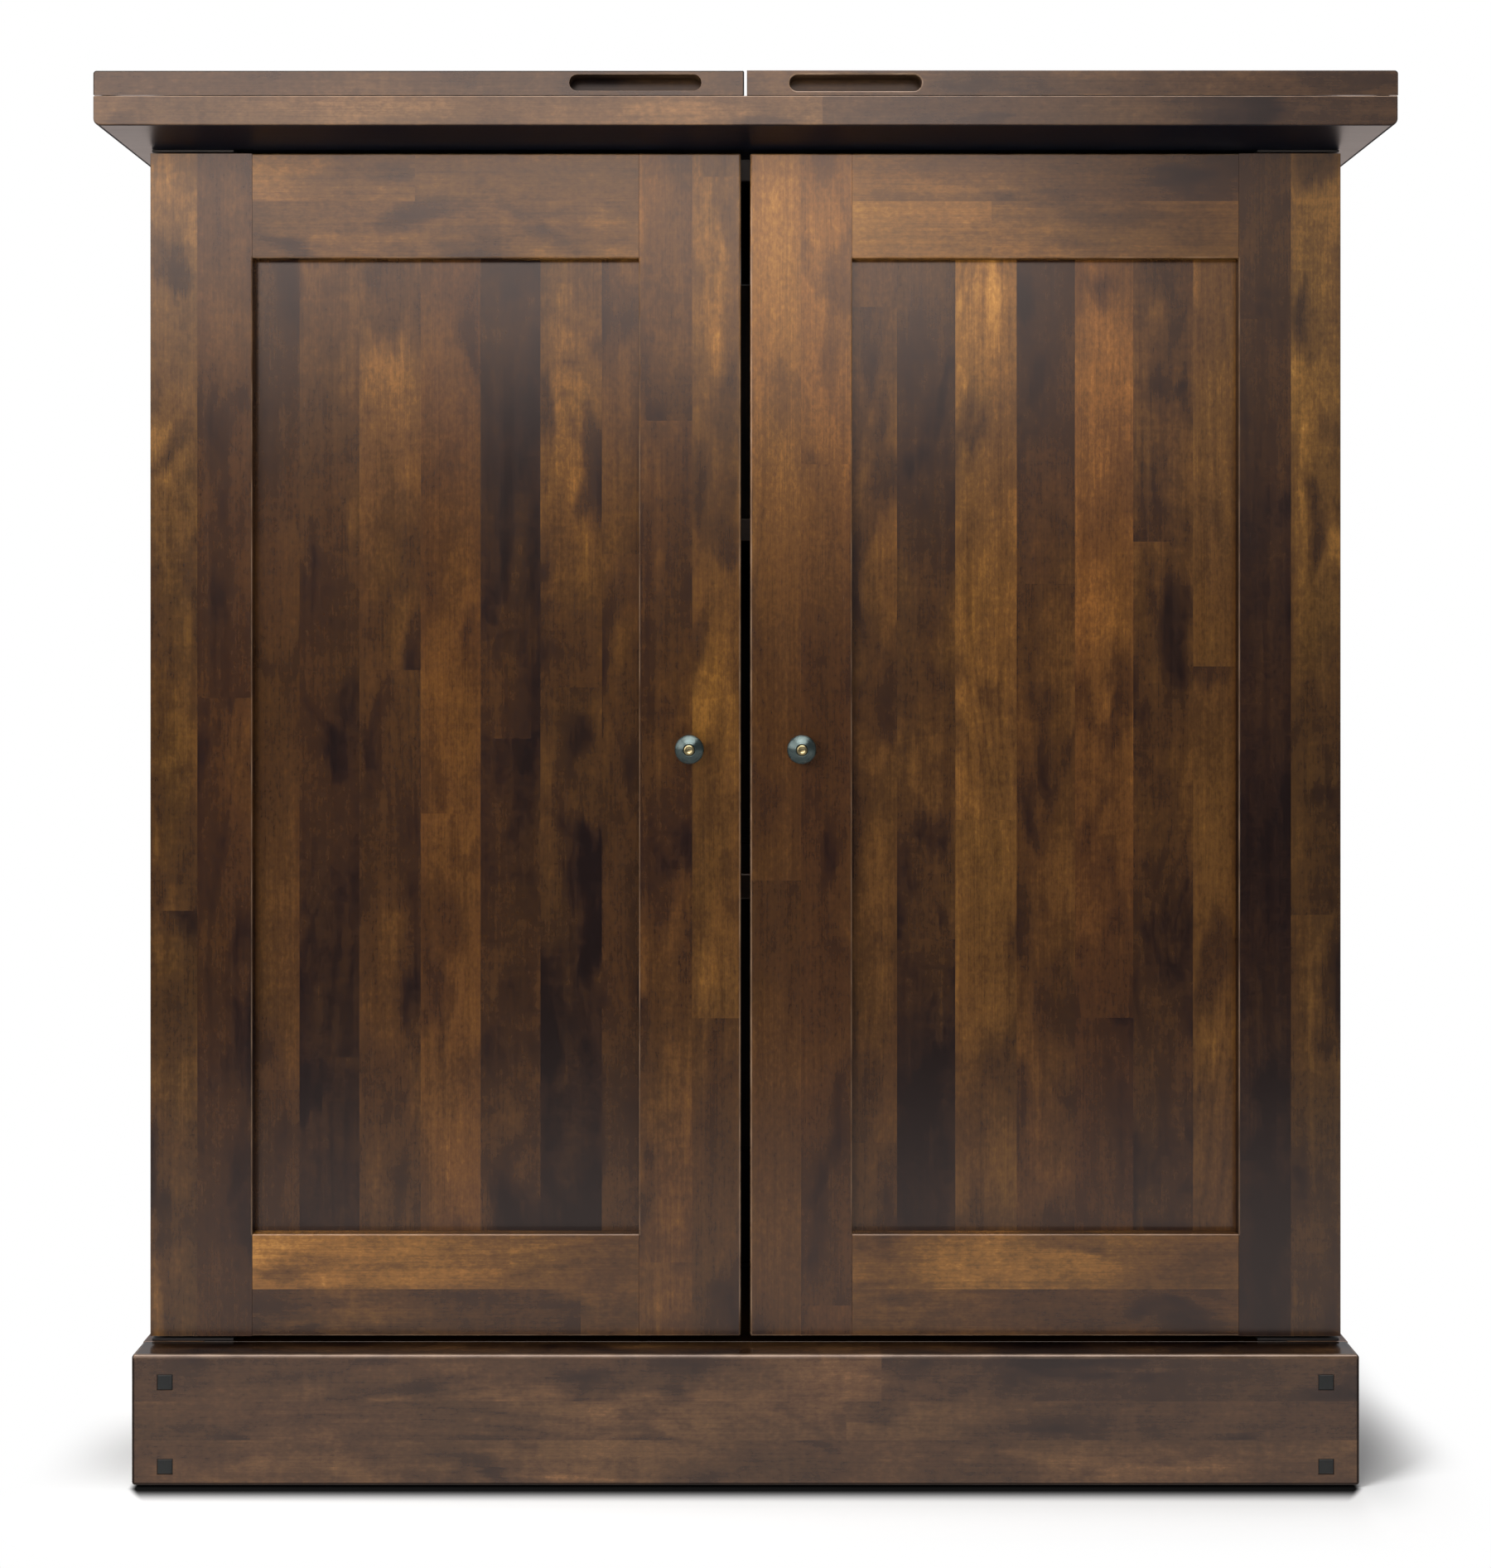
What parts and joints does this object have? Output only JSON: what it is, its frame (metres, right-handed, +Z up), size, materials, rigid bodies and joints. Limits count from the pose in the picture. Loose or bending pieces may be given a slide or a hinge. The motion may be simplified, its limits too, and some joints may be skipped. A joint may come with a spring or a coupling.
{
  "type": "two-door cabinet with fold-out top",
  "caption": "Two-door wooden cabinet on a plinth; two top leaves fold outward to double the counter, with shelves behind framed doors.",
  "frame": {"origin": "on the floor, under the centre of the top", "axes": "+Z up, the doors face -Y, +X to the right of someone facing the doors"},
  "size_m": [0.924, 0.51, 1.0126],
  "materials": {
    "stained_top": "dark stain under satin lacquer, edge-glued staves",
    "stained_door": "dark stain under satin lacquer, edge-glued staves",
    "stained_side": "dark stain under satin lacquer, edge-glued staves",
    "stained_plinth": "dark stain under satin lacquer, edge-glued staves",
    "stained_inside": "dark stain, thin satin lacquer",
    "back_plywood": "stained plywood, matt",
    "plug_black": "blackened hardwood, satin",
    "knob_iron": "pewter-grey patinated iron, soft sheen",
    "knob_brass": "worn satin brass",
    "brass": "turned brass",
    "hinge_brass": "antiqued brass",
    "dark_steel": "black lacquered steel",
    "catch_plastic": "dark brown moulded plastic"
  },
  "bodies": {
    "cabinet": {"back_panel": "back_plywood", "bottom_board": "stained_inside", "door_catch": "catch_plastic", "fixed_shelf": "stained_inside", "pivot_bracket_left_bottom": "dark_steel", "pivot_bracket_left_top": "dark_steel", "pivot_bracket_right_bottom": "dark_steel", "pivot_bracket_right_top": "dark_steel", "plinth_front_board": "stained_plinth", "plinth_left_board": "stained_plinth", "plinth_post_left": "stained_plinth", "plinth_post_right": "stained_plinth", "plinth_rear_board": "stained_plinth", "plinth_right_board": "stained_plinth", "plug_left_lower": "plug_black", "plug_left_upper": "plug_black", "plug_right_lower": "plug_black", "plug_right_upper": "plug_black", "shelf_cleat_left": "stained_inside", "shelf_cleat_right": "stained_inside", "side_left_bottom_rail": "stained_side", "side_left_front_stile": "stained_side", "side_left_panel": "stained_side", "side_left_rear_stile": "stained_side", "side_left_top_rail": "stained_side", "side_right_bottom_rail": "stained_side", "side_right_front_stile": "stained_side", "side_right_panel": "stained_side", "side_right_rear_stile": "stained_side", "side_right_top_rail": "stained_side", "top_board": "stained_top", "top_hinge_left_fixed_leaf": "hinge_brass", "top_hinge_left_pin": "hinge_brass", "top_hinge_right_fixed_leaf": "hinge_brass", "top_hinge_right_pin": "hinge_brass", "upper_shelf": "stained_inside"},
    "left_door": {"door_left_bottom_bush": "brass", "door_left_bottom_rail": "stained_door", "door_left_hinge_stile": "stained_door", "door_left_knob": "knob_iron", "door_left_knob_bolt": "knob_brass", "door_left_latch_stile": "stained_door", "door_left_panel": "stained_door", "door_left_strike_plate": "dark_steel", "door_left_top_bush": "brass", "door_left_top_rail": "stained_door"},
    "right_door": {"door_right_bottom_bush": "brass", "door_right_bottom_rail": "stained_door", "door_right_hinge_stile": "stained_door", "door_right_knob": "knob_iron", "door_right_knob_bolt": "knob_brass", "door_right_latch_stile": "stained_door", "door_right_panel": "stained_door", "door_right_strike_plate": "dark_steel", "door_right_top_bush": "brass", "door_right_top_rail": "stained_door"},
    "left_leaf": {"flip_leaf_left": "stained_top", "top_hinge_left_moving_leaf": "hinge_brass"},
    "right_leaf": {"flip_leaf_right": "stained_top", "top_hinge_right_moving_leaf": "hinge_brass"}
  },
  "joints": [
    {"name": "left_door_hinge", "type": "hinge", "parent": "cabinet", "child": "left_door", "pos_m": [-0.4305, -0.194, 0.534], "axis": [0, 0, -1], "range_deg": [0, 110]},
    {"name": "right_door_hinge", "type": "hinge", "parent": "cabinet", "child": "right_door", "pos_m": [0.4305, -0.194, 0.534], "axis": [0, 0, 1], "range_deg": [0, 110]},
    {"name": "left_leaf_hinge", "type": "hinge", "parent": "cabinet", "child": "left_leaf", "pos_m": [-0.4595, 0, 0.9953], "axis": [0, -1, 0], "range_deg": [0, 180]},
    {"name": "right_leaf_hinge", "type": "hinge", "parent": "cabinet", "child": "right_leaf", "pos_m": [0.4595, 0, 0.9953], "axis": [0, 1, 0], "range_deg": [0, 180]}
  ]
}
